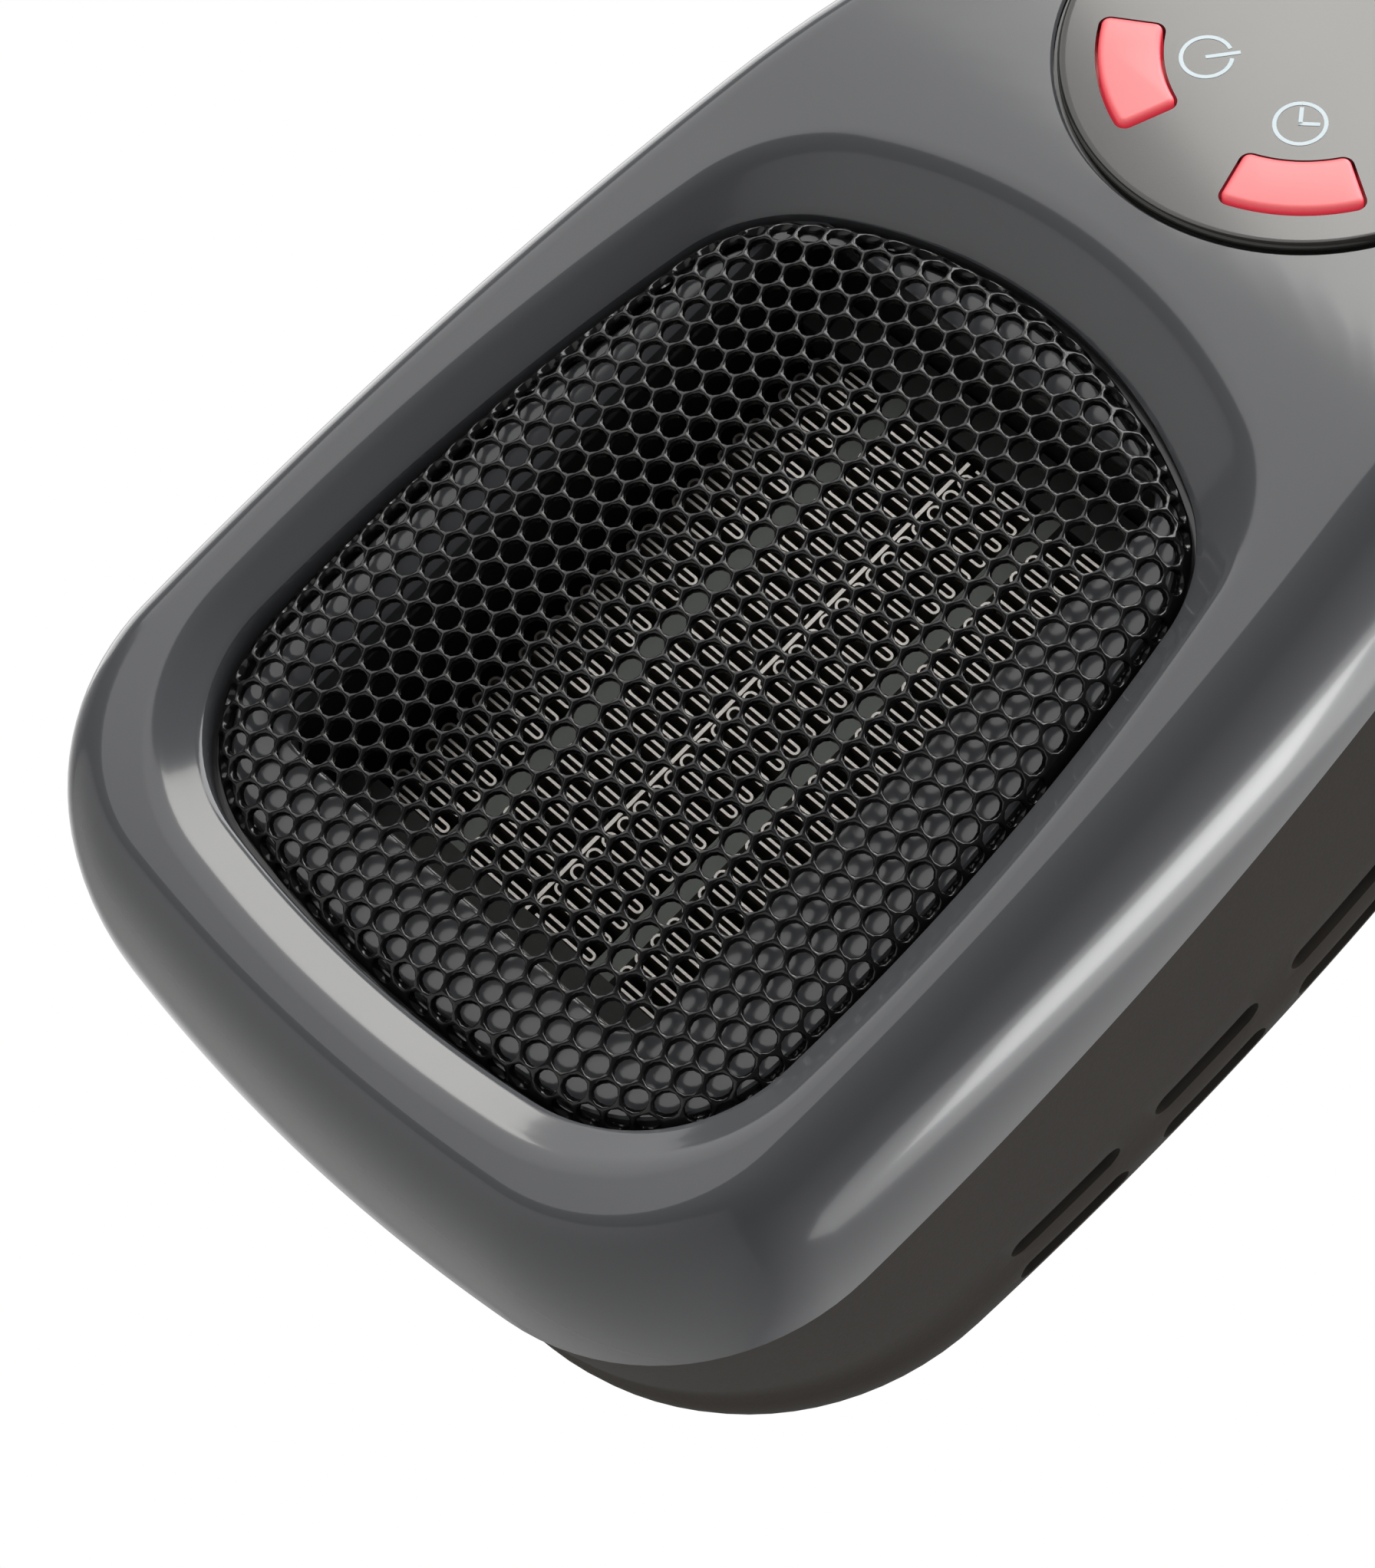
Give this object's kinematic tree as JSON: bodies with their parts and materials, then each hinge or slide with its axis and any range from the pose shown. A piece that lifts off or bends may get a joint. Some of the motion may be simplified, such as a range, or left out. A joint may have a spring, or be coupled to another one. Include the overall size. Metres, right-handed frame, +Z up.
{
  "type": "plug-in fan heater",
  "caption": "Plug-in fan heater with a domed perforated grille over a ceramic heating stack, a round control panel with ring-segment buttons and a swivelling plug.",
  "frame": {"origin": "middle of the plug's face, where it meets the wall socket", "axes": "+Y points into the socket along the pins, +Z is up, the grille faces -Y"},
  "size_m": [0.0936, 0.107, 0.1648],
  "materials": {
    "bezel_plastic": "gloss, cool grey",
    "shell_plastic": "fine satin texture, warm dark grey",
    "grille_paint": "black gloss",
    "disc_plastic": "high gloss, dark grey",
    "button_plastic": "gloss, coral",
    "ptc_strip": "matt grey",
    "fin_metal": "mill finish",
    "heat_block": "matt, heat-proof",
    "duct_plastic": "matt black",
    "fan_plastic": "matt black",
    "motor_steel": "zinc plated",
    "steel": "plain",
    "board": "green solder resist",
    "component": "matt",
    "lead_cover": "silicone sleeve",
    "plug_plastic": "satin, warm dark grey",
    "pin_metal": "nickel plated",
    "contact_metal": "plain"
  },
  "bodies": {
    "plug": {"plug_base": "plug_plastic", "live_pin": "pin_metal", "neutral_pin": "pin_metal", "live_contact_ring": "contact_metal", "neutral_contact_ring": "contact_metal"},
    "housing": {"front_bezel": "bezel_plastic", "rear_shell": "shell_plastic", "grille": "grille_paint", "control_disc": "disc_plastic", "control_board": "board", "board_screws": "steel", "tact_switches": "component", "display_module": "component", "heater_strip_left": "ptc_strip", "heater_strip_right": "ptc_strip", "heater_divider": "fin_metal", "fin_row_1": "fin_metal", "fin_row_2": "fin_metal", "fin_row_3": "fin_metal", "fin_row_4": "fin_metal", "heater_holder_top": "heat_block", "heater_holder_bottom": "heat_block", "heater_duct": "duct_plastic", "thermal_cutout": "component", "motor_bracket": "duct_plastic", "motor": "motor_steel", "power_board": "board", "relay": "component", "filter_capacitor": "component", "power_supply": "component", "heater_leads": "lead_cover", "plug_retainer": "duct_plastic", "live_contact_spring": "contact_metal", "neutral_contact_spring": "contact_metal", "case_screws": "steel", "duct_screws": "steel", "bracket_screws": "steel", "power_board_screws": "steel", "retainer_screws": "steel", "motor_screws": "steel"},
    "fan": {"fan_impeller": "fan_plastic", "motor_shaft": "steel"},
    "button_plus": {"button_plus": "button_plastic"},
    "button_minus": {"button_minus": "button_plastic"},
    "button_power": {"button_power": "button_plastic"},
    "button_timer": {"button_timer": "button_plastic"}
  },
  "joints": [
    {"name": "plug_swivel", "type": "hinge", "parent": "plug", "child": "housing", "pos_m": [0, 0, 0], "axis": [0, 1, 0], "range_deg": [-90, 90]},
    {"name": "fan_spin", "type": "hinge", "parent": "housing", "child": "fan", "pos_m": [-0.002, -0.05, -0.044], "axis": [0, 1, 0], "continuous": true},
    {"name": "plus_press", "type": "slide", "parent": "housing", "child": "button_plus", "axis": [0, 0.9863, -0.165], "range_m": [0, 0.0005], "stiffness_N_per_m": 1500, "springref_m": -0.0005},
    {"name": "minus_press", "type": "slide", "parent": "housing", "child": "button_minus", "axis": [0, 0.9863, -0.165], "range_m": [0, 0.0005], "stiffness_N_per_m": 1500, "springref_m": -0.0005},
    {"name": "power_press", "type": "slide", "parent": "housing", "child": "button_power", "axis": [0, 0.9863, -0.165], "range_m": [0, 0.0005], "stiffness_N_per_m": 1500, "springref_m": -0.0005},
    {"name": "timer_press", "type": "slide", "parent": "housing", "child": "button_timer", "axis": [0, 0.9863, -0.165], "range_m": [0, 0.0005], "stiffness_N_per_m": 1500, "springref_m": -0.0005}
  ]
}
